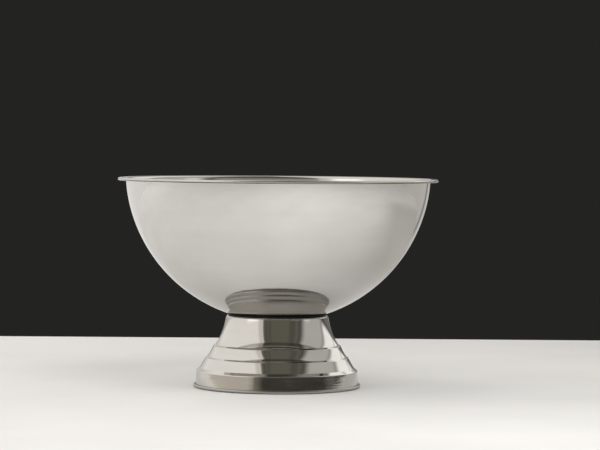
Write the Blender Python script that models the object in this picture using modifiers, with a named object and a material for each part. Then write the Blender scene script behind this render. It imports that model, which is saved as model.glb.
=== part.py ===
"""Footed punch bowl in mirror-polished stainless steel.

A spun hemispherical bowl with a turned-out rim stands on a spun pedestal foot. The foot is clamped
to the bowl from inside: a stud under the bowl passes through a bridge bar that pulls up on the
foot's inner lip, and a nut below the bar holds it. A gasket lies between the foot and the bowl.

Frame: metres, +Z up, origin on the table at the middle of the foot. Sizes below are millimetres.
"""

import math

import bmesh
import bpy
from mathutils import Vector

MM = 0.001
DIVISIONS = 48  # flats around every turned piece, alike so that nested pieces keep their gaps
GAP = 0.3  # between pieces that touch

# Driving dimensions of the bowl
RIM_DIAMETER = 380.0
HEIGHT = 248.0
BOWL_RADIUS = 181.0  # outside of the spherical wall
BOWL_BOTTOM = 77.8  # height of the wall's lowest point, outside
SHEET = 0.9
RIM_BEAD = 3.5  # outside diameter of the curled edge
RIM_CURL_SWEEP = 260.0  # degrees of curl below the flange
FLANGE_FILLET = 2.5

# Driving dimensions of the foot: corners as (radius, height), and the point each flare bends towards
LIP_INNER_RADIUS = 46.0
LIP_GAP = 1.6  # from the bowl's wall to the foot's lip, filled by the gasket
NECK_TOP = (60.0, 86.3)
NECK_FOLD = 2.6
NECK_BEND = (63.6, 63.5)
SHELF_ROOT = (73.2, 50.6)  # narrow shelves lead from here to both edges
FIRST_EDGE = (75.9, 49.0)
SECOND_TIER_BEND = (78.4, 42.3)
SECOND_SHELF_ROOT = (82.6, 36.6)
SECOND_EDGE = (84.9, 35.0)
THIRD_TIER_BEND = (87.6, 29.6)
LEDGE_ROOT = (91.8, 22.9)
LEDGE_EDGE = (95.8, 19.7)
LEDGE_ROUNDING = 1.3
TIER_ROUNDING = 0.9
BASE_BEAD_RADIUS = 99.4  # outermost point of the bead at the foot's lower edge
BASE_BEAD = 3.6
BASE_CURL_SWEEP = 285.0
BEAD_CLEARANCE = 0.6  # the bead is held off the table by the base ring

# Gasket
GASKET_INNER_INSET = 1.5  # from the inner edge of the foot's lip
GASKET_OUTER_INSET = 1.2  # from the neck's outer radius

# Base ring
RING_INNER_RADIUS = 91.4
RING_OUTER_RADIUS = 94.2
RING_HEIGHT = 7.0
RING_EDGE = 0.5  # chamfer beside the resting face

# Clamp hardware, for an 8 mm thread
STUD_RADIUS = 4.0
STUD_HOLE_RADIUS = 4.3
STUD_BOTTOM = 53.0
STUD_CHAMFER = 0.8
PLATE_RADIUS = 24.0
PLATE_THICKNESS = 2.0
COLLAR_RADIUS = 7.0
COLLAR_THICKNESS = 1.5
BAR_HALF_LENGTH = 56.0
BAR_WIDTH = 26.0
BAR_THICKNESS = 3.0
BAR_JOGGLE = 11.6  # drop from the ends to the middle
BAR_MIDDLE_HALF = 18.0
BAR_END_PAD = 12.0
BAR_BEND = 4.0
WASHER_RADIUS = 8.0
WASHER_THICKNESS = 1.6
SPRING_WASHER_RADIUS = 7.4
SPRING_WASHER_THICKNESS = 2.0
SPRING_WASHER_SPLIT = 1.2
SPLIT_SLANT = 25.0  # degrees
NUT_ACROSS_FLATS = 13.0
NUT_HEIGHT = 6.5
NUT_CHAMFER = 0.9
CUTTER_OVERRUN = 1.0

BOWL_CENTRE = BOWL_BOTTOM + BOWL_RADIUS


def clear_scene():
    for obj in list(bpy.data.objects):
        bpy.data.objects.remove(obj, do_unlink=True)


def new_collection(name):
    collection = bpy.data.collections.new(name)
    bpy.context.scene.collection.children.link(collection)
    return collection


def material(name, colour, roughness, metallic):
    made = bpy.data.materials.new(name)
    made.use_nodes = True
    shader = made.node_tree.nodes["Principled BSDF"]
    shader.inputs["Base Color"].default_value = (*colour, 1.0)
    shader.inputs["Roughness"].default_value = roughness
    shader.inputs["Metallic"].default_value = metallic
    made.diffuse_color = (*colour, 1.0)
    return made


# Outlines: lists of (radius, height) points


def arc(centre, radius, start, end, steps):
    """Points on a circle from one angle to another, in degrees; 0 points outwards and 90 up."""
    points = []
    for step in range(steps + 1):
        angle = math.radians(start + (end - start) * step / steps)
        points.append((centre[0] + radius * math.cos(angle), centre[1] + radius * math.sin(angle)))
    return points


def flare(start, control, end, steps):
    """A quadratic curve that leaves start towards control and arrives at end from control."""
    points = []
    for step in range(steps + 1):
        t = step / steps
        weights = ((1 - t) ** 2, 2 * t * (1 - t), t**2)
        points.append(tuple(sum(w * p[i] for w, p in zip(weights, (start, control, end))) for i in (0, 1)))
    return points


def rounded(before, corner, after, radius, steps):
    """The arc that replaces a corner, tangent to the straight lines on both sides of it."""
    corner_at = Vector(corner)
    to_before = (Vector(before) - corner_at).normalized()
    to_after = (Vector(after) - corner_at).normalized()
    half_angle = to_before.angle(to_after) / 2
    centre = corner_at + (to_before + to_after).normalized() * radius / math.sin(half_angle)
    first = corner_at + to_before * radius / math.tan(half_angle) - centre
    turn = first.angle_signed(corner_at + to_after * radius / math.tan(half_angle) - centre)
    start = math.degrees(math.atan2(first.y, first.x))
    return arc(centre, radius, start, start - math.degrees(turn), steps)


def below_bowl(distance, radius):
    """Height, at this radius from the axis, of a surface this far below the bowl's wall."""
    return BOWL_CENTRE - math.sqrt((BOWL_RADIUS + distance) ** 2 - radius**2)


def under_bowl_arc(distance, start_radius, end_radius, steps):
    """Points this far below the bowl's wall, from one radius to another."""
    radii = [start_radius + (end_radius - start_radius) * step / steps for step in range(steps + 1)]
    return [(radius, below_bowl(distance, radius)) for radius in radii]


# Bodies made from outlines


def turn_outline(name, outline, closed, collection, finish):
    """An object turned about Z from an outline that runs down its outer side."""
    mesh = bpy.data.meshes.new(name)
    edges = [(i, i + 1) for i in range(len(outline) - 1)]
    if closed:
        edges.append((len(outline) - 1, 0))
    mesh.from_pydata([(radius * MM, 0.0, height * MM) for radius, height in outline], edges, [])
    obj = bpy.data.objects.new(name, mesh)
    collection.objects.link(obj)
    mesh.materials.append(finish)
    screw = obj.modifiers.new("Turn", "SCREW")
    screw.axis = "Z"
    screw.angle = math.tau
    screw.steps = DIVISIONS
    screw.render_steps = DIVISIONS
    screw.use_merge_vertices = True
    screw.merge_threshold = 0.00001
    screw.use_smooth_shade = True
    return obj


def turned_sheet(name, outline, collection, finish):
    """Spun sheet metal: the outline is its outer face, and the thickness goes inwards."""
    obj = turn_outline(name, outline, False, collection, finish)
    solidify = obj.modifiers.new("Sheet", "SOLIDIFY")
    solidify.thickness = SHEET * MM
    solidify.offset = -1.0
    solidify.use_even_offset = True
    return obj


def turned_solid(name, outline, collection, finish):
    return turn_outline(name, outline, True, collection, finish)


def ring_outline(inner, outer, bottom, top):
    return [(inner, top), (outer, top), (outer, bottom), (inner, bottom)]


def cut(obj, cutter, operation="DIFFERENCE"):
    cutter.hide_render = True
    cutter.display_type = "WIRE"
    boolean = obj.modifiers.new(operation.title(), "BOOLEAN")
    boolean.operation = operation
    boolean.object = cutter
    boolean.solver = "EXACT"


def drill(name, radius, bottom, top, collection):
    """A cutter for a round hole on the axis."""
    mesh = bpy.data.meshes.new(name)
    shape = bmesh.new()
    bmesh.ops.create_cone(
        shape,
        cap_ends=True,
        segments=DIVISIONS,
        radius1=radius * MM,
        radius2=radius * MM,
        depth=(top - bottom) * MM,
    )
    shape.to_mesh(mesh)
    shape.free()
    obj = bpy.data.objects.new(name, mesh)
    obj.location.z = (top + bottom) / 2 * MM
    collection.objects.link(obj)
    return obj


# The pieces


def build_bowl(parts, finish):
    """Curled edge, flat flange, small fillet and spherical wall, from the rim to the middle."""
    bead_radius = RIM_BEAD / 2
    bead_centre = (RIM_DIAMETER / 2 - bead_radius, HEIGHT - bead_radius)
    outline = arc(bead_centre, bead_radius - SHEET, 90 - RIM_CURL_SWEEP, 90, 7)

    fillet_height = HEIGHT - SHEET - FLANGE_FILLET
    reach = BOWL_RADIUS + FLANGE_FILLET
    drop = BOWL_CENTRE - fillet_height
    fillet_centre = (math.sqrt(reach**2 - drop**2), fillet_height)
    wall_angle = math.degrees(math.asin(drop / reach))
    outline += arc(fillet_centre, FLANGE_FILLET, 90, 180 - wall_angle, 3)

    wall = arc((0, BOWL_CENTRE), BOWL_RADIUS, -wall_angle, -90, 16)
    wall[-1] = (0.0, BOWL_BOTTOM)
    outline += wall[1:]
    return turned_sheet("bowl", outline, parts, finish)


def foot_outline():
    """Inner lip, neck, two shelves and flared tiers, ledge, skirt and curled edge, from the top."""
    lip = under_bowl_arc(LIP_GAP, LIP_INNER_RADIUS, NECK_TOP[0] - 2 * NECK_FOLD, 2)
    neck = flare(NECK_TOP, NECK_BEND, SHELF_ROOT, 5)
    second_tier = flare(FIRST_EDGE, SECOND_TIER_BEND, SECOND_SHELF_ROOT, 3)
    third_tier = flare(SECOND_EDGE, THIRD_TIER_BEND, LEDGE_ROOT, 3)
    bead_radius = BASE_BEAD / 2
    bead_centre = (BASE_BEAD_RADIUS - bead_radius, BEAD_CLEARANCE + bead_radius)
    curl = arc(bead_centre, bead_radius - SHEET, 180, 180 + BASE_CURL_SWEEP, 7)

    outline = list(lip)
    outline += rounded(lip[-1], NECK_TOP, neck[1], NECK_FOLD, 3)
    outline += neck[1:-1]
    outline += rounded(neck[-2], SHELF_ROOT, FIRST_EDGE, TIER_ROUNDING, 1)
    outline += rounded(SHELF_ROOT, FIRST_EDGE, second_tier[1], TIER_ROUNDING, 1)
    outline += second_tier[1:-1]
    outline += rounded(second_tier[-2], SECOND_SHELF_ROOT, SECOND_EDGE, TIER_ROUNDING, 1)
    outline += rounded(SECOND_SHELF_ROOT, SECOND_EDGE, third_tier[1], TIER_ROUNDING, 1)
    outline += third_tier[1:-1]
    outline += rounded(third_tier[-2], LEDGE_ROOT, LEDGE_EDGE, TIER_ROUNDING, 1)
    outline += rounded(LEDGE_ROOT, LEDGE_EDGE, curl[0], LEDGE_ROUNDING, 3)
    return outline + curl


def build_foot(parts, finish):
    return turned_sheet("pedestal_foot", foot_outline(), parts, finish)


def build_seam_gasket(parts, finish):
    """A flat ring dished to the bowl, between its wall and the foot's lip."""
    inner = LIP_INNER_RADIUS + GASKET_INNER_INSET
    outer = NECK_TOP[0] - GASKET_OUTER_INSET
    top = under_bowl_arc(GAP, inner, outer, 2)
    bottom = under_bowl_arc(LIP_GAP - GAP, outer, inner, 2)
    return turned_solid("seam_gasket", top + bottom, parts, finish)


def build_stud_plate(parts, finish):
    """A dished disc spot-welded under the bowl, which carries the stud."""
    top = under_bowl_arc(GAP, STUD_HOLE_RADIUS, PLATE_RADIUS, 2)
    bottom = under_bowl_arc(GAP + PLATE_THICKNESS, PLATE_RADIUS, STUD_HOLE_RADIUS, 2)
    return turned_solid("stud_plate", top + bottom, parts, finish)


def build_clamp_stud(parts, finish):
    """The threaded stud with the collar that seats it under its plate."""
    top = BOWL_BOTTOM - 2 * GAP
    collar_top = BOWL_BOTTOM - PLATE_THICKNESS - 2 * GAP
    collar_bottom = collar_top - COLLAR_THICKNESS
    outline = [
        (0.0, top),
        (STUD_RADIUS, top),
        (STUD_RADIUS, collar_top),
        (COLLAR_RADIUS, collar_top),
        (COLLAR_RADIUS, collar_bottom),
        (STUD_RADIUS, collar_bottom),
        (STUD_RADIUS, STUD_BOTTOM + STUD_CHAMFER),
        (STUD_RADIUS - STUD_CHAMFER, STUD_BOTTOM),
        (0.0, STUD_BOTTOM),
    ]
    return turn_outline("clamp_stud", outline, False, parts, finish)


def build_bridge_bar(end_top, middle_top, parts, cutters, finish):
    """A flat bar, joggled so that its ends bear up on the foot's lip and its middle hangs clear."""
    end = BAR_HALF_LENGTH
    pad = BAR_HALF_LENGTH - BAR_END_PAD
    path = [
        (-end, end_top),
        (-pad, end_top),
        (-BAR_MIDDLE_HALF, middle_top),
        (BAR_MIDDLE_HALF, middle_top),
        (pad, end_top),
        (end, end_top),
    ]
    shape = bmesh.new()
    edge_side = [shape.verts.new((x * MM, -BAR_WIDTH / 2 * MM, z * MM)) for x, z in path]
    edges = [shape.edges.new(pair) for pair in zip(edge_side, edge_side[1:])]
    swept = bmesh.ops.extrude_edge_only(shape, edges=edges)
    moved = [item for item in swept["geom"] if isinstance(item, bmesh.types.BMVert)]
    bmesh.ops.translate(shape, verts=moved, vec=(0, BAR_WIDTH * MM, 0))
    bends = [e for e in shape.edges if len(e.link_faces) == 2]
    bmesh.ops.bevel(shape, geom=bends, offset=BAR_BEND * MM, segments=3, profile=0.5, affect="EDGES")
    bmesh.ops.recalc_face_normals(shape, faces=shape.faces)
    if sum(face.normal.z for face in shape.faces) < 0:
        bmesh.ops.reverse_faces(shape, faces=shape.faces)
    mesh = bpy.data.meshes.new("bridge_bar")
    shape.to_mesh(mesh)
    shape.free()
    mesh.materials.append(finish)
    obj = bpy.data.objects.new("bridge_bar", mesh)
    parts.objects.link(obj)
    solidify = obj.modifiers.new("Bar", "SOLIDIFY")
    solidify.thickness = BAR_THICKNESS * MM
    solidify.offset = -1.0
    solidify.use_even_offset = True
    hole = drill("bar_hole", STUD_HOLE_RADIUS, middle_top - 2 * BAR_THICKNESS, end_top, cutters)
    cut(obj, hole)
    return obj


def build_flat_washer(top, parts, finish):
    outline = ring_outline(STUD_HOLE_RADIUS, WASHER_RADIUS, top - WASHER_THICKNESS, top)
    return turned_solid("flat_washer", outline, parts, finish)


def build_spring_washer(top, parts, cutters, finish):
    """A square-section ring with a slanted split."""
    bottom = top - SPRING_WASHER_THICKNESS
    outline = ring_outline(STUD_HOLE_RADIUS, SPRING_WASHER_RADIUS, bottom, top)
    obj = turned_solid("spring_washer", outline, parts, finish)
    mesh = bpy.data.meshes.new("washer_split")
    shape = bmesh.new()
    bmesh.ops.create_cube(shape, size=1.0)
    bmesh.ops.scale(
        shape,
        verts=shape.verts,
        vec=(SPRING_WASHER_RADIUS * MM, SPRING_WASHER_SPLIT * MM, 3 * SPRING_WASHER_THICKNESS * MM),
    )
    shape.to_mesh(mesh)
    shape.free()
    split = bpy.data.objects.new("washer_split", mesh)
    split.location = Vector((SPRING_WASHER_RADIUS, 0.0, (top + bottom) / 2)) * MM
    split.rotation_euler.x = math.radians(SPLIT_SLANT)
    cutters.objects.link(split)
    cut(obj, split)
    return obj


def build_clamp_nut(top, parts, cutters, finish):
    """A hexagon nut, its corners turned off at both ends."""
    bottom = top - NUT_HEIGHT
    corner_radius = NUT_ACROSS_FLATS / math.sqrt(3)
    mesh = bpy.data.meshes.new("clamp_nut")
    shape = bmesh.new()
    bmesh.ops.create_cone(
        shape,
        cap_ends=True,
        segments=6,
        radius1=corner_radius * MM,
        radius2=corner_radius * MM,
        depth=NUT_HEIGHT * MM,
    )
    bmesh.ops.translate(shape, verts=shape.verts, vec=(0, 0, (top + bottom) / 2 * MM))
    shape.to_mesh(mesh)
    shape.free()
    mesh.materials.append(finish)
    obj = bpy.data.objects.new("clamp_nut", mesh)
    parts.objects.link(obj)
    chamfer_slope = NUT_CHAMFER / (corner_radius - NUT_ACROSS_FLATS / 2)
    face_radius = corner_radius - (NUT_CHAMFER + CUTTER_OVERRUN) / chamfer_slope
    turned = [
        (0.0, top + CUTTER_OVERRUN),
        (face_radius, top + CUTTER_OVERRUN),
        (corner_radius + GAP, top - NUT_CHAMFER + GAP * chamfer_slope),
        (corner_radius + GAP, bottom + NUT_CHAMFER - GAP * chamfer_slope),
        (face_radius, bottom - CUTTER_OVERRUN),
        (0.0, bottom - CUTTER_OVERRUN),
    ]
    envelope = turn_outline("nut_envelope", turned, False, cutters, finish)
    cut(obj, envelope, "INTERSECT")
    cut(obj, drill("nut_hole", STUD_HOLE_RADIUS, bottom - NUT_HEIGHT, top + NUT_HEIGHT, cutters))
    return obj


def build_base_ring(parts, finish):
    """The non-slip ring pushed up inside the skirt, with the flat face that the bowl rests on."""
    outline = [
        (RING_INNER_RADIUS, RING_HEIGHT),
        (RING_OUTER_RADIUS, RING_HEIGHT),
        (RING_OUTER_RADIUS, RING_EDGE),
        (RING_OUTER_RADIUS - RING_EDGE, 0.0),
        (RING_INNER_RADIUS + RING_EDGE, 0.0),
        (RING_INNER_RADIUS, RING_EDGE),
    ]
    return turned_solid("base_ring", outline, parts, finish)


def build():
    clear_scene()
    parts = new_collection("punch_bowl")
    cutters = new_collection("cutters")

    polished = material("polished_steel", (0.78, 0.76, 0.73), 0.08, 1.0)
    polished_foot = material("polished_steel_foot", (0.77, 0.75, 0.72), 0.10, 1.0)
    plain_steel = material("plain_steel", (0.55, 0.55, 0.55), 0.38, 1.0)
    zinc = material("zinc_plate", (0.62, 0.63, 0.62), 0.34, 1.0)
    rubber = material("black_rubber", (0.02, 0.02, 0.02), 0.80, 0.0)

    build_bowl(parts, polished)
    build_foot(parts, polished_foot)
    build_seam_gasket(parts, rubber)
    build_stud_plate(parts, plain_steel)
    build_clamp_stud(parts, zinc)
    bar_end_top = below_bowl(LIP_GAP + SHEET, LIP_INNER_RADIUS) - GAP
    bar_middle_top = bar_end_top - BAR_JOGGLE
    build_bridge_bar(bar_end_top, bar_middle_top, parts, cutters, plain_steel)
    washer_top = bar_middle_top - BAR_THICKNESS - GAP
    build_flat_washer(washer_top, parts, zinc)
    spring_top = washer_top - WASHER_THICKNESS - GAP
    build_spring_washer(spring_top, parts, cutters, zinc)
    nut_top = spring_top - SPRING_WASHER_THICKNESS - GAP
    build_clamp_nut(nut_top, parts, cutters, zinc)
    build_base_ring(parts, rubber)


build()
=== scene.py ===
"""Looks of the footed punch bowl: fine turned meshes, steel, rubber and zinc finishes, light and camera.

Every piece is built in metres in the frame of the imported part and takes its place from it.
"""

import math

import bmesh
import bpy
import numpy as np
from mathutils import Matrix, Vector


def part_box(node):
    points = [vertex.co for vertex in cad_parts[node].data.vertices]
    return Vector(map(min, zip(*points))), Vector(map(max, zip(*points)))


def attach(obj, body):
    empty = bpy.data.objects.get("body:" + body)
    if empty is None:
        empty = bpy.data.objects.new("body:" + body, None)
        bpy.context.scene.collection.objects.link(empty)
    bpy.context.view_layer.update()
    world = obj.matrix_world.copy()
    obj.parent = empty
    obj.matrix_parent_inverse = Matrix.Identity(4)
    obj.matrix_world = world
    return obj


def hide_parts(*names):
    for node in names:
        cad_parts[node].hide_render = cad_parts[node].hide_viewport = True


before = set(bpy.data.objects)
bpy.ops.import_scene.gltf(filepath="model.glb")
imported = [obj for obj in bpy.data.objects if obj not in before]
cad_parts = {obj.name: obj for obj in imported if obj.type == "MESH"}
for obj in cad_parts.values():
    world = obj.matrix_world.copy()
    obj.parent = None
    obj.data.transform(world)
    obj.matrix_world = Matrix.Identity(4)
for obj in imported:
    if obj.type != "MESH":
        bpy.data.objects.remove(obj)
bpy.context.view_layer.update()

MM = 0.001
BODY = "root"
STEPS = 288  # round the large turned pieces
SMALL_STEPS = 96  # round the stud plate, stud and washers
NUT_STEPS = 144  # a multiple of 6, so that each corner of the nut is met

# Bowl and foot sheet, in millimetres; the outer sizes come from the frame
SHEET = 0.9
RIM_BEAD = 3.5
RIM_CURL_SWEEP = 260.0
FLANGE_FILLET = 2.5
BOWL_RADIUS = 181.0
LIP_INNER_RADIUS = 46.0
LIP_GAP = 1.6
NECK_TOP = (60.0, 86.3)
NECK_FOLD = 2.6
NECK_FOLD_REACH = 3.3  # of the fold's arc along the neck
NECK_BEND = (63.6, 63.5)
SHELF_ROOT = (73.2, 50.6)
FIRST_EDGE = (75.9, 49.0)
SECOND_TIER_BEND = (78.4, 42.3)
SECOND_SHELF_ROOT = (82.6, 36.6)
SECOND_EDGE = (84.9, 35.0)
THIRD_TIER_BEND = (87.6, 29.6)
LEDGE_ROOT = (91.8, 22.9)
LEDGE_EDGE = (95.8, 19.7)
LEDGE_ROUNDING = 1.3
TIER_ROUNDING = 0.9
TIER_REACH = 1.0  # of the rounding's arc along a tier
BASE_BEAD = 3.6
BASE_CURL_SWEEP = 285.0

# The smaller pieces, in millimetres
GAP = 0.3
GASKET_INNER_INSET = 1.5
GASKET_OUTER_INSET = 1.2
BASE_RING_WIDTH = 2.8
PLATE_THICKNESS = 2.0
STUD_RADIUS = 4.0
STUD_HOLE_RADIUS = 4.3
THREAD_PITCH = 1.25
THREAD_DEPTH = 0.65
COLLAR_THICKNESS = 1.5
COLLAR_BELOW_TOP = 2.0
NUT_HALF_FLATS = 6.5


def box_mm(node):
    low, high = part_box(node)
    return low / MM, high / MM


BOWL_LOW, BOWL_HIGH = box_mm("bowl")
FOOT_LOW, FOOT_HIGH = box_mm("pedestal_foot")
BOWL_CENTRE = BOWL_LOW.z + BOWL_RADIUS
RIM_RADIUS = round(BOWL_HIGH.x, 1)
BEAD_OUTER_RADIUS = round(FOOT_HIGH.x, 1)


# Outlines: lists of (radius, height) points in millimetres


def arc(centre, radius, start, end, steps):
    """Points on a circle, by angle in degrees; 0 points outwards and 90 up."""
    angles = np.radians(np.linspace(start, end, steps + 1))
    return [(centre[0] + radius * math.cos(a), centre[1] + radius * math.sin(a)) for a in angles]


def flare(start, control, end, steps):
    """A quadratic curve that leaves start towards control and arrives at end from it."""
    points = []
    for t in np.linspace(0.0, 1.0, steps + 1):
        weights = ((1 - t) ** 2, 2 * t * (1 - t), t**2)
        points.append(tuple(sum(w * p[i] for w, p in zip(weights, (start, control, end))) for i in (0, 1)))
    return points


def rounded(before, corner, after, radius, steps):
    """The arc that replaces a corner, tangent to the straight lines on both sides of it."""
    corner_at = Vector(corner)
    to_before = (Vector(before) - corner_at).normalized()
    to_after = (Vector(after) - corner_at).normalized()
    half_angle = to_before.angle(to_after) / 2
    centre = corner_at + (to_before + to_after).normalized() * radius / math.sin(half_angle)
    first = corner_at + to_before * radius / math.tan(half_angle) - centre
    last = corner_at + to_after * radius / math.tan(half_angle) - centre
    start = math.degrees(math.atan2(first.y, first.x))
    return arc(centre, radius, start, start - math.degrees(first.angle_signed(last)), steps)


def trimmed(points, corner, reach):
    """The points that lie farther than reach from a corner that an arc has replaced."""
    return [p for p in points if math.dist(p, corner) > reach]


def under_bowl(distance, start_radius, end_radius, steps):
    """Points at this distance below the bowl's wall, from one radius to another."""
    return [
        (r, BOWL_CENTRE - math.sqrt((BOWL_RADIUS + distance) ** 2 - r**2))
        for r in np.linspace(start_radius, end_radius, steps + 1)
    ]


def offset(points, distance):
    """The outline moved sideways, to the right of its direction of travel."""
    at = np.array(points)
    along = np.diff(at, axis=0)
    along /= np.linalg.norm(along, axis=1)[:, None]
    side = np.column_stack([along[:, 1], -along[:, 0]])
    before = np.vstack([side[:1], side])
    after = np.vstack([side, side[-1:]])
    normal = before + after
    normal /= np.linalg.norm(normal, axis=1)[:, None]
    stretch = distance / np.clip((normal * after).sum(axis=1), 0.5, 1.0)
    return [tuple(p) for p in at + normal * stretch[:, None]]


def soft_section(points, radius, steps=3):
    """A closed section with every corner rounded."""
    outline = []
    for before, corner, after in zip(points[-1:] + points[:-1], points, points[1:] + points[:1]):
        outline += rounded(before, corner, after, radius, steps)
    return outline


# Meshes


def lathe(name, section, steps, finishes, finish_of=None, shape=None, sharp=35.0):
    """A closed body turned about Z from a closed section of (radius, height) points.

    finish_of(index) gives the material of the band that starts at that section point.
    shape(x, y, z) moves the finished points, given and returned in metres.
    """
    count = len(section)
    angles = np.arange(steps) * math.tau / steps
    verts, first = [], []
    for radius, height in section:
        first.append(len(verts))
        if radius < 1e-6:
            verts.append((0.0, 0.0, height * MM))
        else:
            verts += [(radius * math.cos(a) * MM, radius * math.sin(a) * MM, height * MM) for a in angles]
    faces, bands = [], []
    for i in range(count):
        j = (i + 1) % count
        here_is_pole = section[i][0] < 1e-6
        there_is_pole = section[j][0] < 1e-6
        if here_is_pole and there_is_pole:
            continue
        for k in range(steps):
            m = (k + 1) % steps
            if here_is_pole:
                faces.append((first[i], first[j] + m, first[j] + k))
            elif there_is_pole:
                faces.append((first[i] + k, first[i] + m, first[j]))
            else:
                faces.append((first[i] + k, first[i] + m, first[j] + m, first[j] + k))
            bands.append(i)
    points = np.array(verts)
    if shape:
        points = np.column_stack(shape(*points.T))
    mesh = bpy.data.meshes.new(name)
    mesh.from_pydata(points.tolist(), [], faces)
    work = bmesh.new()
    work.from_mesh(mesh)
    bmesh.ops.recalc_face_normals(work, faces=work.faces)
    work.to_mesh(mesh)
    work.free()
    for finish in finishes:
        mesh.materials.append(finish)
    if finish_of:
        mesh.polygons.foreach_set("material_index", [finish_of(band) for band in bands])
    mesh.shade_smooth()
    mesh.set_sharp_from_angle(angle=math.radians(sharp))
    obj = bpy.data.objects.new(name, mesh)
    bpy.context.scene.collection.objects.link(obj)
    return obj


def place(obj, slot, *nodes):
    """The piece rides on the one body and stands for its CAD nodes."""
    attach(obj, BODY)
    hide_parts(*nodes)
    return obj


# Finishes


class Nodes:
    """Short ways to add and join the nodes of one material or world."""

    def __init__(self, tree):
        self.tree = tree

    def add(self, kind, **settings):
        node = self.tree.nodes.new(kind)
        for key, value in settings.items():
            setattr(node, key, value)
        return node

    def join(self, source, target):
        self.tree.links.new(source, target)

    def put(self, value, socket):
        """A socket is joined and a number or colour is set."""
        if isinstance(value, bpy.types.NodeSocket):
            self.join(value, socket)
        else:
            socket.default_value = value

    def math(self, operation, a, b=0.0, c=0.0, clamp=False):
        node = self.add("ShaderNodeMath", operation=operation, use_clamp=clamp)
        for value, socket in zip((a, b, c), node.inputs):
            self.put(value, socket)
        return node.outputs[0]

    def vector(self, x, y, z):
        node = self.add("ShaderNodeCombineXYZ")
        for value, socket in zip((x, y, z), node.inputs):
            self.put(value, socket)
        return node.outputs[0]

    def parts(self, vector):
        node = self.add("ShaderNodeSeparateXYZ")
        self.join(vector, node.inputs[0])
        return node.outputs

    def scaled(self, vector, factor):
        node = self.add("ShaderNodeVectorMath", operation="SCALE")
        self.join(vector, node.inputs[0])
        self.put(factor, node.inputs["Scale"])
        return node.outputs[0]

    def noise(self, vector, scale, detail=2.0, roughness=0.5):
        node = self.add("ShaderNodeTexNoise", noise_dimensions="3D")
        self.join(vector, node.inputs["Vector"])
        node.inputs["Scale"].default_value = scale
        node.inputs["Detail"].default_value = detail
        node.inputs["Roughness"].default_value = roughness
        return node.outputs["Fac"]

    def spread(self, value, low, high, to_low=0.0, to_high=1.0):
        node = self.add("ShaderNodeMapRange", interpolation_type="SMOOTHSTEP")
        self.put(value, node.inputs["Value"])
        node.inputs["From Min"].default_value = low
        node.inputs["From Max"].default_value = high
        node.inputs["To Min"].default_value = to_low
        node.inputs["To Max"].default_value = to_high
        return node.outputs["Result"]

    def window(self, value, rise_from, rise_to, fall_from, fall_to):
        """1 between the rise and the fall, 0 outside them."""
        rise = self.spread(value, rise_from, rise_to)
        return self.math("MULTIPLY", rise, self.spread(value, fall_from, fall_to, 1.0, 0.0))

    def mix(self, factor, a, b):
        node = self.add("ShaderNodeMix", data_type="RGBA")
        self.put(factor, node.inputs["Factor"])
        self.put(a, node.inputs[6])
        self.put(b, node.inputs[7])
        return node.outputs[2]

    def after_mirrors(self, count):
        """1 for what is seen by way of at least this many reflections."""
        depth = self.add("ShaderNodeLightPath").outputs["Glossy Depth"]
        return self.math("GREATER_THAN", depth, count - 0.5)

    def bump(self, height, distance, normal=None):
        node = self.add("ShaderNodeBump")
        node.inputs["Strength"].default_value = 1.0
        node.inputs["Distance"].default_value = distance
        self.join(height, node.inputs["Height"])
        if normal is not None:
            self.join(normal, node.inputs["Normal"])
        return node.outputs["Normal"]


def new_material(name):
    made = bpy.data.materials.new(name)
    made.use_nodes = True
    nodes = Nodes(made.node_tree)
    return made, nodes, made.node_tree.nodes["Principled BSDF"]


def rgb(*colour):
    return (*colour, 1.0)


def turned_coordinates(nodes, slope):
    """Position, radius, and a vector whose third part runs down the outline and whose others go round it.

    slope is the radius's weight against the height, so that the sum always changes along the sheet.
    """
    position = nodes.add("ShaderNodeTexCoord").outputs["Object"]
    x, y, z = nodes.parts(position)
    squares = nodes.math("ADD", nodes.math("MULTIPLY", x, x), nodes.math("MULTIPLY", y, y))
    radius = nodes.math("SQRT", squares)
    safe = nodes.math("MAXIMUM", radius, 0.001)
    along = nodes.math("MULTIPLY_ADD", radius, slope, z)
    round_x = nodes.math("DIVIDE", x, safe)
    round_y = nodes.math("DIVIDE", y, safe)
    return position, radius, z, (round_x, round_y, along)


CREVICE_BLUR = 0.4  # millimetres
CREVICE_SHADE_COLOUR = (0.10, 0.095, 0.085)  # painted shade in the crevice under the rolled rim
SCRATCH_ROUGHNESS = 0.05
SPECK_ROUGHNESS = 0.10


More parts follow.
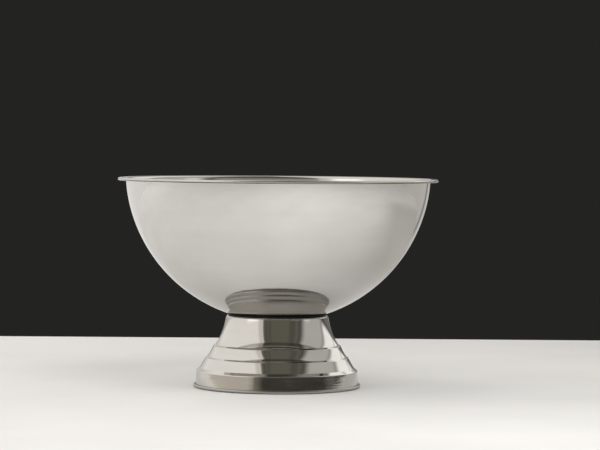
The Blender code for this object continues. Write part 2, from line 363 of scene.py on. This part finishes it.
def spun_steel(name, slope, light, dark, polish, lines, smudges=0.05, haze_in_mirror=0.0, crevice=None):
    """Spun stainless steel: fine lines round the axis, faint scratches, smudges and waviness.

    polish is the least roughness; lines and smudges are the strength of each.
    haze_in_mirror is added to the roughness where the sheet is itself seen in a reflection.
    crevice gives the least radius, lowest and highest point, in millimetres, of a thin line of painted shade
    under the rim's curl.
    """
    made, nodes, shader = new_material(name)
    position, radius, height, (round_x, round_y, along) = turned_coordinates(nodes, slope)

    def ring_noise(per_metre, arc_length, detail):
        stretched = nodes.vector(
            nodes.math("MULTIPLY", round_x, arc_length),
            nodes.math("MULTIPLY", round_y, arc_length),
            nodes.math("MULTIPLY", along, per_metre),
        )
        return nodes.noise(stretched, 1.0, detail, 0.6)

    fine = ring_noise(1400.0, 5.0, 2.0)
    coarse = ring_noise(220.0, 2.0, 3.0)
    bands = ring_noise(38.0, 0.8, 2.0)
    haze = nodes.noise(position, 9.0, 4.0, 0.6)
    patches = nodes.spread(nodes.noise(position, 21.0, 5.0, 0.65), 0.52, 0.78)
    specks = nodes.spread(nodes.noise(position, 900.0, 1.0, 0.4), 0.74, 0.80)
    round_and_down = nodes.scaled(nodes.vector(round_x, round_y, along), 14.0)
    scratches = nodes.spread(nodes.noise(round_and_down, 3.0, 9.0, 0.75), 0.66, 0.72)

    tone = nodes.math("ADD", nodes.math("MULTIPLY", haze, 0.6), nodes.math("MULTIPLY", bands, 0.4))
    colour = nodes.mix(nodes.spread(tone, 0.35, 0.65), rgb(*dark), rgb(*light))
    if crevice:
        least_radius, low, high = crevice
        # Painted shade: a thin dark line in the crevice under the rolled rim, uneven along it
        beyond = nodes.spread(radius, (least_radius - CREVICE_BLUR) * MM, least_radius * MM)
        between = nodes.window(
            height, (low - CREVICE_BLUR) * MM, low * MM, high * MM, (high + CREVICE_BLUR) * MM
        )
        painted_crevice_shade = nodes.math("MULTIPLY", between, beyond)
        uneven_crevice_shade = nodes.math("MULTIPLY", painted_crevice_shade, nodes.spread(haze, 0.3, 0.6, 0.7, 1.0))
        colour = nodes.mix(uneven_crevice_shade, colour, rgb(*CREVICE_SHADE_COLOUR))
    nodes.join(colour, shader.inputs["Base Color"])

    rough = nodes.math("MULTIPLY_ADD", nodes.spread(coarse, 0.35, 0.7), lines * 0.35, polish)
    rough = nodes.math("MULTIPLY_ADD", nodes.spread(fine, 0.4, 0.7), lines * 0.35, rough)
    rough = nodes.math("MULTIPLY_ADD", patches, smudges, rough)
    rough = nodes.math("MULTIPLY_ADD", scratches, SCRATCH_ROUGHNESS, rough)
    rough = nodes.math("MULTIPLY_ADD", specks, SPECK_ROUGHNESS, rough, clamp=True)
    if haze_in_mirror:
        rough = nodes.math("MULTIPLY_ADD", nodes.after_mirrors(1), haze_in_mirror, rough, clamp=True)
    nodes.join(rough, shader.inputs["Roughness"])

    shader.inputs["Metallic"].default_value = 1.0
    shader.inputs["Anisotropic"].default_value = 0.35
    tangent = nodes.add("ShaderNodeTangent", direction_type="RADIAL", axis="Z")
    nodes.join(tangent.outputs[0], shader.inputs["Tangent"])

    normal = nodes.bump(coarse, 0.0004 * lines)
    normal = nodes.bump(fine, 0.00006 * lines, normal=normal)
    waviness = nodes.noise(position, 13.0, 1.0, 0.3)
    normal = nodes.bump(waviness, 0.00035, normal=normal)
    nodes.join(normal, shader.inputs["Normal"])
    return made


def drawn_steel(name, light, dark, rough_low, rough_high):
    """Plain strip or pressed steel: streaks along X, dull blotches and a fine grain."""
    made, nodes, shader = new_material(name)
    position = nodes.add("ShaderNodeTexCoord").outputs["Object"]
    stretch = nodes.add("ShaderNodeMapping")
    stretch.inputs["Scale"].default_value = (40.0, 1800.0, 1800.0)
    nodes.join(position, stretch.inputs["Vector"])
    streaks = nodes.noise(stretch.outputs[0], 1.0, 3.0, 0.6)
    blotches = nodes.noise(position, 90.0, 4.0, 0.6)
    tone = nodes.math("ADD", nodes.math("MULTIPLY", streaks, 0.5), nodes.math("MULTIPLY", blotches, 0.5))
    colour = nodes.mix(nodes.spread(tone, 0.35, 0.65), rgb(*dark), rgb(*light))
    nodes.join(colour, shader.inputs["Base Color"])
    nodes.join(nodes.spread(tone, 0.3, 0.7, rough_low, rough_high), shader.inputs["Roughness"])
    shader.inputs["Metallic"].default_value = 1.0
    normal = nodes.bump(streaks, 0.00003)
    normal = nodes.bump(nodes.noise(position, 2500.0, 2.0), 0.00001, normal=normal)
    nodes.join(normal, shader.inputs["Normal"])
    return made


def zinc_plate(name):
    """Bright zinc on small hardware: bluish grey with a slight spangle and dull spots."""
    made, nodes, shader = new_material(name)
    position = nodes.add("ShaderNodeTexCoord").outputs["Object"]
    cells = nodes.add("ShaderNodeTexVoronoi", feature="F1")
    cells.inputs["Scale"].default_value = 700.0
    nodes.join(position, cells.inputs["Vector"])
    spots = nodes.spread(nodes.noise(position, 260.0, 4.0, 0.65), 0.5, 0.75)
    colour = nodes.mix(cells.outputs["Distance"], rgb(0.60, 0.62, 0.63), rgb(0.44, 0.46, 0.48))
    nodes.join(nodes.mix(spots, colour, rgb(0.40, 0.40, 0.37)), shader.inputs["Base Color"])
    rough = nodes.math("MULTIPLY_ADD", cells.outputs["Distance"], 0.12, 0.24)
    nodes.join(nodes.math("MULTIPLY_ADD", spots, 0.2, rough, clamp=True), shader.inputs["Roughness"])
    shader.inputs["Metallic"].default_value = 1.0
    nodes.join(nodes.bump(cells.outputs["Distance"], 0.00002), shader.inputs["Normal"])
    return made


def black_rubber(name, light, dark):
    """Moulded rubber: a fine matt grain, a little bloom and dust."""
    made, nodes, shader = new_material(name)
    position = nodes.add("ShaderNodeTexCoord").outputs["Object"]
    grain = nodes.noise(position, 3500.0, 3.0, 0.6)
    bloom = nodes.noise(position, 60.0, 4.0, 0.6)
    colour = nodes.mix(nodes.spread(bloom, 0.4, 0.75), rgb(*dark), rgb(*light))
    nodes.join(colour, shader.inputs["Base Color"])
    nodes.join(nodes.spread(grain, 0.3, 0.7, 0.62, 0.86), shader.inputs["Roughness"])
    shader.inputs["Specular IOR Level"].default_value = 0.35
    nodes.join(nodes.bump(grain, 0.00004), shader.inputs["Normal"])
    return made


# The pieces


def bowl_outline():
    """Outer face of the bowl, from the end of the rim's curl to the middle of the bottom."""
    bead_radius = RIM_BEAD / 2
    bead_centre = (RIM_RADIUS - bead_radius, BOWL_HIGH.z - bead_radius)
    outline = arc(bead_centre, bead_radius - SHEET, 90 - RIM_CURL_SWEEP, 90, 24)
    fillet_height = BOWL_HIGH.z - SHEET - FLANGE_FILLET
    reach = BOWL_RADIUS + FLANGE_FILLET
    drop = BOWL_CENTRE - fillet_height
    fillet_centre = (math.sqrt(reach**2 - drop**2), fillet_height)
    wall_angle = math.degrees(math.asin(drop / reach))
    outline += arc(fillet_centre, FLANGE_FILLET, 90, 180 - wall_angle, 10)
    wall = arc((0, BOWL_CENTRE), BOWL_RADIUS, -wall_angle, -90, 120)
    wall[-1] = (0.0, BOWL_LOW.z)
    return outline + wall[1:]


def build_bowl():
    outside = bowl_outline()
    inside = offset(outside, SHEET)
    inside[-1] = (0.0, BOWL_LOW.z + SHEET)
    section = outside + inside[::-1]
    outer = spun_steel(
        "bowl_steel",
        slope=1.0,
        light=(0.70, 0.69, 0.675),
        dark=(0.66, 0.65, 0.635),
        polish=0.045,
        lines=0.05,
    )
    # The curled sheet shows its inner face on the bead, so the painted shade line under it belongs to this
    # finish
    bead_bottom = BOWL_HIGH.z - RIM_BEAD
    inner = spun_steel(
        "bowl_inside_steel",
        slope=1.0,
        light=(0.68, 0.66, 0.63),
        dark=(0.63, 0.61, 0.58),
        polish=0.085,
        lines=0.09,
        crevice=(RIM_RADIUS - RIM_BEAD, bead_bottom, bead_bottom + 1.0),
    )
    bowl = lathe(
        "bowl_shell",
        section,
        STEPS,
        [outer, inner],
        finish_of=lambda band: 0 if band < len(outside) - 1 else 1,
        sharp=60.0,
    )
    return place(bowl, "bowl_steel", "bowl")


def foot_outline():
    """Outer face of the foot, from the inner edge of its lip to the end of the base's curl."""
    neck = flare(NECK_TOP, NECK_BEND, SHELF_ROOT, 40)
    second_tier = flare(FIRST_EDGE, SECOND_TIER_BEND, SECOND_SHELF_ROOT, 20)
    third_tier = flare(SECOND_EDGE, THIRD_TIER_BEND, LEDGE_ROOT, 20)
    bead_radius = BASE_BEAD / 2
    bead_centre = (BEAD_OUTER_RADIUS - bead_radius, FOOT_LOW.z + bead_radius)
    curl = arc(bead_centre, bead_radius - SHEET, 180, 180 + BASE_CURL_SWEEP, 30)
    lip = under_bowl(LIP_GAP, LIP_INNER_RADIUS, NECK_TOP[0] - 2 * NECK_FOLD, 12)

    # A point a little way along a curve stands for its direction beside a corner
    outline = list(lip)
    outline += rounded(lip[-1], NECK_TOP, neck[5], NECK_FOLD, 12)
    outline += trimmed(trimmed(neck, NECK_TOP, NECK_FOLD_REACH), SHELF_ROOT, TIER_REACH)
    outline += rounded(neck[-4], SHELF_ROOT, FIRST_EDGE, TIER_ROUNDING, 6)
    outline += rounded(SHELF_ROOT, FIRST_EDGE, second_tier[3], TIER_ROUNDING, 6)
    outline += trimmed(trimmed(second_tier, FIRST_EDGE, TIER_REACH), SECOND_SHELF_ROOT, TIER_REACH)
    outline += rounded(second_tier[-4], SECOND_SHELF_ROOT, SECOND_EDGE, TIER_ROUNDING, 6)
    outline += rounded(SECOND_SHELF_ROOT, SECOND_EDGE, third_tier[3], TIER_ROUNDING, 6)
    outline += trimmed(trimmed(third_tier, SECOND_EDGE, TIER_REACH), LEDGE_ROOT, TIER_REACH)
    outline += rounded(third_tier[-4], LEDGE_ROOT, LEDGE_EDGE, TIER_ROUNDING, 6)
    outline += rounded(LEDGE_ROOT, LEDGE_EDGE, curl[0], LEDGE_ROUNDING, 10)
    return outline + curl


def build_foot():
    outside = foot_outline()
    inside = offset(outside, SHEET)
    section = outside + inside[::-1]
    outer = spun_steel(
        "foot_steel",
        slope=-1.0,
        light=(0.69, 0.67, 0.64),
        dark=(0.64, 0.62, 0.59),
        polish=0.05,
        lines=0.06,
        haze_in_mirror=0.25,
    )
    inner = spun_steel(
        "foot_inside_steel",
        slope=-1.0,
        light=(0.50, 0.49, 0.47),
        dark=(0.42, 0.41, 0.39),
        polish=0.26,
        lines=0.12,
        smudges=0.12,
    )
    foot = lathe(
        "foot_shell",
        section,
        STEPS,
        [outer, inner],
        finish_of=lambda band: 0 if band < len(outside) - 1 else 1,
        sharp=60.0,
    )
    return place(foot, "foot_steel", "pedestal_foot")


def build_seam_gasket(rubber):
    inner, outer = LIP_INNER_RADIUS + GASKET_INNER_INSET, NECK_TOP[0] - GASKET_OUTER_INSET
    top = under_bowl(GAP, inner, outer, 1)
    bottom = under_bowl(LIP_GAP - GAP, outer, inner, 1)
    ring = lathe("seam_gasket_ring", soft_section(top + bottom, radius=0.4), STEPS, [rubber])
    return place(ring, "gasket_rubber", "seam_gasket")


def build_base_ring(rubber):
    """The non-slip ring, its four edges rounded."""
    low, high = box_mm("base_ring")
    outer = round(high.x, 1)
    inner = outer - BASE_RING_WIDTH
    corners = [(inner, high.z), (outer, high.z), (outer, low.z), (inner, low.z)]
    ring = lathe("base_rest_ring", soft_section(corners, radius=0.45), STEPS, [rubber])
    return place(ring, "ring_rubber", "base_ring")


def build_stud_plate(steel):
    """The dished disc with the dents of its four spot welds."""
    low, high = box_mm("stud_plate")
    edge, rounding = high.x, 0.4
    below = GAP + PLATE_THICKNESS
    top = under_bowl(GAP, STUD_HOLE_RADIUS, edge, 1)
    bottom = under_bowl(below, edge, STUD_HOLE_RADIUS, 1)
    weld_circle, weld_radius, dent = 16.5 * MM, 2.2 * MM, 0.4 * MM
    dented_below = (low.z + 2.2) * MM

    def dented(x, y, z):
        z = z.copy()
        for turn in range(4):
            angle = math.radians(45 + 90 * turn)
            away = np.hypot(x - weld_circle * math.cos(angle), y - weld_circle * math.sin(angle))
            z += dent * np.exp(-((away / weld_radius) ** 2)) * (z < dented_below)
        return x, y, z

    fine_top = under_bowl(GAP, STUD_HOLE_RADIUS, edge - rounding, 10)
    fine_bottom = under_bowl(below, edge - rounding, STUD_HOLE_RADIUS, 40)
    rim = rounded(fine_top[-1], top[1], bottom[0], rounding, 3)
    rim += rounded(top[1], bottom[0], fine_bottom[0], rounding, 3)
    disc = lathe("stud_plate_disc", fine_top + rim + fine_bottom, SMALL_STEPS, [steel], shape=dented)
    return place(disc, "plain_steel", "stud_plate")


def build_clamp_stud(zinc):
    """Collar and shank with a cut thread."""
    low, high = box_mm("clamp_stud")
    radius, pitch, chamfer, tip_chamfer = STUD_RADIUS, THREAD_PITCH, 0.3, 0.8
    collar_radius = high.x
    collar_top = high.z - COLLAR_BELOW_TOP
    collar_bottom = collar_top - COLLAR_THICKNESS
    plain_shank = 1.5
    thread_top = collar_bottom - plain_shank
    heights = np.arange(thread_top, low.z + tip_chamfer, -pitch / 12)
    section = [(0.0, high.z), (radius - chamfer, high.z), (radius, high.z - chamfer), (radius, collar_top)]
    section += [(collar_radius - chamfer, collar_top), (collar_radius, collar_top - chamfer)]
    section += [(collar_radius, collar_bottom + chamfer), (collar_radius - chamfer, collar_bottom)]
    section += [(radius, collar_bottom)]
    section += [(radius, h) for h in heights]
    section += [(radius, low.z + tip_chamfer), (radius - tip_chamfer, low.z), (0.0, low.z)]

    def threaded(x, y, z):
        turn = np.arctan2(y, x) / math.tau
        phase = np.mod(z / MM / pitch - turn, 1.0)
        groove = np.clip(np.abs(phase - 0.5) * 2.6 - 0.3, 0.0, 1.0)
        reach = np.hypot(x, y)
        fade = np.clip((thread_top * MM - z) / (pitch * MM), 0.0, 1.0)
        on_shank = (z < thread_top * MM) & (reach > (radius - 0.01) * MM) & (z > (low.z + 0.7) * MM)
        cut = np.where(on_shank, THREAD_DEPTH * MM * groove * fade, 0.0)
        scale = np.where(reach > 0, (reach - cut) / np.maximum(reach, 1e-9), 1.0)
        return x * scale, y * scale, z

    stud = lathe("threaded_stud", section, SMALL_STEPS, [zinc], shape=threaded, sharp=50.0)
    return place(stud, "zinc_steel", "clamp_stud")


def build_flat_washer(zinc):
    low, high = box_mm("flat_washer")
    inner, outer = STUD_HOLE_RADIUS, high.x
    corners = [(inner, high.z), (outer, high.z), (outer, low.z), (inner, low.z)]
    section = soft_section(corners, radius=0.2, steps=2)
    washer = lathe("flat_washer_ring", section, SMALL_STEPS, [zinc])
    return place(washer, "zinc_steel", "flat_washer")


def build_spring_washer(zinc):
    """A square-section ring with a narrow slanted cut through it."""
    low, high = box_mm("spring_washer")
    outer, inner = round(high.y, 1), STUD_HOLE_RADIUS
    middle = (low.z + high.z) / 2
    corners = [(inner, high.z), (outer, high.z), (outer, low.z), (inner, low.z)]
    section = soft_section(corners, radius=0.25, steps=2)
    gap_angle = math.radians(11)
    turns = np.linspace(gap_angle / 2, math.tau - gap_angle / 2, SMALL_STEPS)
    lean = math.radians(5)  # of the cut, for each millimetre of height
    work = bmesh.new()
    rings = []
    for turn in turns:
        ring = []
        for r, h in section:
            at = turn + lean * (h - middle)
            ring.append(work.verts.new((r * math.cos(at) * MM, r * math.sin(at) * MM, h * MM)))
        rings.append(ring)
    count = len(section)
    for ring, following in zip(rings, rings[1:]):
        for i in range(count):
            j = (i + 1) % count
            work.faces.new((ring[i], ring[j], following[j], following[i]))
    work.faces.new(rings[0])
    work.faces.new(rings[-1][::-1])
    bmesh.ops.recalc_face_normals(work, faces=work.faces)
    mesh = bpy.data.meshes.new("spring_washer_ring")
    work.to_mesh(mesh)
    work.free()
    mesh.materials.append(zinc)
    mesh.shade_smooth()
    mesh.set_sharp_from_angle(angle=math.radians(35))
    washer = bpy.data.objects.new("spring_washer_ring", mesh)
    bpy.context.scene.collection.objects.link(washer)
    return place(washer, "zinc_steel", "spring_washer")


def build_clamp_nut(zinc):
    """A hexagon nut: its corners fade into turned chamfers at both faces."""
    low, high = box_mm("clamp_nut")
    half_flats, bore, bore_chamfer = NUT_HALF_FLATS, STUD_HOLE_RADIUS, 0.5
    face_radius = half_flats - 0.3
    corner = half_flats / math.cos(math.radians(30))
    slope = math.tan(math.radians(30))
    side = [(corner, h) for h in np.linspace(high.z - 0.05, low.z + 0.05, 40)]
    section = [(bore, high.z - bore_chamfer), (bore + bore_chamfer, high.z), (face_radius, high.z)] + side
    section += [(face_radius, low.z), (bore + bore_chamfer, low.z), (bore, low.z + bore_chamfer)]

    def hexagonal(x, y, z):
        reach = np.hypot(x, y)
        turn = np.mod(np.arctan2(y, x) + math.pi / 6 - math.pi / 2, math.pi / 3) - math.pi / 6
        flat = half_flats * MM / np.cos(turn)
        to_face = np.minimum(high.z * MM - z, z - low.z * MM)
        cone = face_radius * MM + to_face / slope
        limit = np.where(reach > (half_flats + 0.1) * MM, np.minimum(flat, cone), reach)
        scale = np.minimum(limit, reach) / np.maximum(reach, 1e-9)
        return x * scale, y * scale, z

    nut = lathe("hexagon_nut", section, NUT_STEPS, [zinc], shape=hexagonal, sharp=25.0)
    return place(nut, "zinc_steel", "clamp_nut")


def finish_bridge_bar(steel):
    """The CAD bar is shown as it is, with its cut edges broken and the plain finish on it."""
    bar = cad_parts["bridge_bar"]
    bar.data.materials.clear()
    bar.data.materials.append(steel)
    broken = bar.modifiers.new("broken_edges", "BEVEL")
    broken.width = 0.4 * MM
    broken.segments = 2
    broken.limit_method = "ANGLE"
    broken.angle_limit = math.radians(50)


# Stage, light and camera

BACKDROP = (0.017, 0.017, 0.016)  # what the camera sees beyond the floor
SURROUNDINGS = (0.045, 0.042, 0.037)
FLOOR_LIGHT = (0.84, 0.83, 0.815)
FLOOR_DARK = (0.80, 0.79, 0.775)
# Painted shade on the floor, seen only in reflections, to the right of the bowl and behind it
PAINTED_FLOOR_SHADE_IN_MIRROR = (0.59, 0.575, 0.555)  # to the right of the bowl and behind it
# Painted shade on the floor from the second reflection on, and a painted shadow where it is met steeply, as
# under the bowl
PAINTED_FLOOR_SHADE_IN_LATER_BOUNCES = (0.56, 0.54, 0.50)  # where such light meets it at a low angle
PAINTED_FLOOR_SHADOW_BELOW_IN_LATER_BOUNCES = (0.07, 0.065, 0.06)  # and where it comes down steeply
WORLD_IN_LATER_BOUNCES = 0.7

# Soft panels of light, each laid over those before it. Angles in degrees: azimuth from and to, from
# the camera's side and positive to the right, blur of its sides, elevation from and to, blur of its
# edges, and the colour.
PANELS = (
    # Overhead, left and right
    (-200, -40, 10, 60, 120, 8, (1.05, 1.02, 0.97)),
    (40, 200, 12, 60, 120, 8, (0.30, 0.30, 0.29)),
    # The room behind the camera: a dim wall, three darker uprights on it, and a lighter strip below
    (-34, 52, 6, 13, 62, 3, (0.135, 0.130, 0.105)),
    (-27, -23, 2, 13, 62, 3, (0.10, 0.096, 0.078)),
    (-19, -15, 2, 13, 62, 3, (0.10, 0.096, 0.078)),
    (28, 42, 4, 13, 62, 3, (0.10, 0.096, 0.080)),
    (-34, 52, 6, 5, 13, 2, (0.39, 0.37, 0.33)),
    # To the right, with a low bright patch, and behind the bowl: a dim wall and a window with a bar
    (60, 116, 9, 5, 62, 3, (0.54, 0.53, 0.50)),
    (64, 78, 5, 6, 13, 3, (0.90, 0.89, 0.86)),
    (158, 200, 5, 4, 66, 4, (0.35, 0.345, 0.33)),
    (118, 160, 5, 9, 68, 3, (1.12, 1.11, 1.09)),
    (146, 149, 1.5, 9, 68, 3, (0.60, 0.59, 0.57)),
    # The large bright panel on the left, dimmer at both ends, with a bright strip low on it
    (-200, -33, 2, 3, 76, 4, (1.00, 0.97, 0.925)),
    (-43, -33, 3, 3, 76, 4, (0.74, 0.71, 0.66)),
    (-200, -152, 11, 3, 76, 4, (0.64, 0.625, 0.60)),
    (178, 200, 2, 3, 76, 4, (0.64, 0.625, 0.60)),
    (-70, -44, 6, 7, 15, 3, (1.60, 1.55, 1.48)),
    # Low strips at the level of the table
    (-160, -38, 8, -9, 3, 3, (0.62, 0.57, 0.49)),
    (-38, -24, 6, -9, 3, 3, (0.28, 0.25, 0.20)),
    (74, 92, 5, -9, 4, 3, (0.11, 0.10, 0.09)),
    # What is seen past the back edge of the floor
    (-200, -112, 6, -24, -1.5, 1, (0.86, 0.84, 0.81)),
    (100, 154, 5, -24, -1.5, 1, (0.55, 0.53, 0.50)),
    (154, 158, 1.5, -24, -1.5, 1, (0.24, 0.23, 0.22)),
    (158, 200, 1.5, -24, -1.5, 1, (0.56, 0.55, 0.53)),
    (128, 162, 6, -2, 6, 1, (0.18, 0.175, 0.165)),
)


def build_floor():
    """A plain pale table top that ends behind the bowl."""
    left, right, front, back, thickness = -2.6, 2.6, -2.2, 0.77, 0.04
    work = bmesh.new()
    bmesh.ops.create_cube(work, size=1.0)
    bmesh.ops.scale(work, verts=work.verts, vec=(right - left, back - front, thickness))
    bmesh.ops.translate(work, verts=work.verts, vec=((left + right) / 2, (front + back) / 2, -thickness / 2))
    mesh = bpy.data.meshes.new("floor")
    work.to_mesh(mesh)
    work.free()
    made, nodes, shader = new_material("pale_floor")
    position = nodes.add("ShaderNodeTexCoord").outputs["Object"]
    mottle = nodes.noise(position, 5.0, 4.0)
    plain = nodes.mix(nodes.spread(mottle, 0.3, 0.7), rgb(*FLOOR_DARK), rgb(*FLOOR_LIGHT))

    # In reflections, a painted shade darkens an area to the right of the bowl and behind it; bounds in
    # metres
    across, backwards, _ = nodes.parts(position)
    beside = nodes.window(across, 0.10, 0.30, 0.75, 1.05)
    shade = nodes.math("MULTIPLY", beside, nodes.spread(backwards, -0.20, 0.12))
    mirrored = nodes.add("ShaderNodeLightPath").outputs["Is Glossy Ray"]
    plain = nodes.mix(nodes.math("MULTIPLY", shade, mirrored), plain, rgb(*PAINTED_FLOOR_SHADE_IN_MIRROR))

    # From the second reflection on, painted shade makes it darker still, with a darker painted shadow where
    # it is met steeply
    sideways, _, downwards = nodes.parts(nodes.add("ShaderNodeNewGeometry").outputs["Incoming"])
    steep = nodes.window(downwards, 0.40, 0.60, 0.78, 0.90)
    steep = nodes.math("MULTIPLY", steep, nodes.spread(sideways, 0.25, 0.5, 1.0, 0.0))
    later = nodes.mix(steep, rgb(*PAINTED_FLOOR_SHADE_IN_LATER_BOUNCES), rgb(*PAINTED_FLOOR_SHADOW_BELOW_IN_LATER_BOUNCES))
    nodes.join(nodes.mix(nodes.after_mirrors(2), plain, later), shader.inputs["Base Color"])
    shader.inputs["Roughness"].default_value = 0.55
    mesh.materials.append(made)
    floor = bpy.data.objects.new("floor", mesh)
    bpy.context.scene.collection.objects.link(floor)


def build_world():
    """A dark studio with soft panels of light around and above the bowl."""
    world = bpy.data.worlds.new("studio")
    world.use_nodes = True
    bpy.context.scene.world = world
    nodes = Nodes(world.node_tree)
    background = world.node_tree.nodes["Background"]
    x, y, z = nodes.parts(nodes.add("ShaderNodeTexCoord").outputs["Generated"])
    bearing = nodes.math("ARCTAN2", x, nodes.math("MULTIPLY", y, -1.0))
    azimuth = nodes.math("MULTIPLY", bearing, math.degrees(1.0))
    elevation = nodes.math("MULTIPLY", nodes.math("ARCSINE", z), math.degrees(1.0))

    light = rgb(*SURROUNDINGS)
    for left, right, side_blur, low, high, edge_blur, colour in PANELS:
        across = nodes.window(
            azimuth, left - side_blur, left + side_blur, right - side_blur, right + side_blur
        )
        up = nodes.window(elevation, low - edge_blur, low + edge_blur, high - edge_blur, high + edge_blur)
        light = nodes.mix(nodes.math("MULTIPLY", across, up), light, rgb(*colour))

    dimmed = nodes.scaled(light, WORLD_IN_LATER_BOUNCES)
    light = nodes.mix(nodes.after_mirrors(2), light, dimmed)
    seen = nodes.add("ShaderNodeLightPath").outputs["Is Camera Ray"]
    nodes.join(nodes.mix(seen, light, rgb(*BACKDROP)), background.inputs["Color"])


def area_light(name, location, target, size, power):
    """A soft light for the floor, in metres and watts, that shows in no reflection."""
    data = bpy.data.lights.new(name, "AREA")
    data.shape = "RECTANGLE"
    data.size, data.size_y = size
    data.energy = power
    lamp = bpy.data.objects.new(name, data)
    lamp.location = location
    lamp.rotation_euler = (Vector(target) - Vector(location)).to_track_quat("-Z", "Y").to_euler()
    lamp.visible_camera = False
    lamp.visible_glossy = False
    bpy.context.scene.collection.objects.link(lamp)


def build_lights():
    area_light("overhead_fill", (0.38, -0.95, 1.2), (0.1, -0.2, 0.0), (0.9, 0.9), 10.8)
    area_light("left_fill", (-1.5, 0.5, 1.1), (-1.1, 0.35, 0.0), (1.4, 1.2), 9.5)
    area_light("near_fill", (0.16, -0.45, 0.55), (0.07, -0.15, 0.0), (0.4, 0.3), 0.3)


def build_camera():
    """A long lens just above the rim, looking slightly down."""
    distance, height, roll = 3.2, 0.298, 0.45
    aim = Vector((0.0262, 0.0, 0.1926))
    data = bpy.data.cameras.new("camera")
    data.sensor_width = 36.0
    data.lens = 161.8
    camera = bpy.data.objects.new("camera", data)
    camera.location = (0.0, -distance, height)
    turn = (aim - camera.location).to_track_quat("-Z", "Y").to_matrix().to_4x4()
    camera.rotation_euler = turn.to_euler()
    camera.rotation_euler.rotate_axis("Z", math.radians(roll))
    bpy.context.scene.collection.objects.link(camera)
    bpy.context.scene.camera = camera


def build():
    rubber = black_rubber("gasket_rubber", (0.030, 0.030, 0.029), (0.012, 0.012, 0.012))
    ring_rubber = black_rubber("ring_rubber", (0.055, 0.054, 0.052), (0.022, 0.022, 0.021))
    plain_steel = drawn_steel("plain_steel", (0.56, 0.55, 0.53), (0.40, 0.39, 0.37), 0.30, 0.48)
    zinc = zinc_plate("zinc_plate")

    build_bowl()
    build_foot()
    build_seam_gasket(rubber)
    build_base_ring(ring_rubber)
    build_stud_plate(plain_steel)
    build_clamp_stud(zinc)
    finish_bridge_bar(plain_steel)
    build_flat_washer(zinc)
    build_spring_washer(zinc)
    build_clamp_nut(zinc)

    build_floor()
    build_world()
    build_lights()
    build_camera()
    bpy.context.scene.view_settings.view_transform = "Standard"


build()
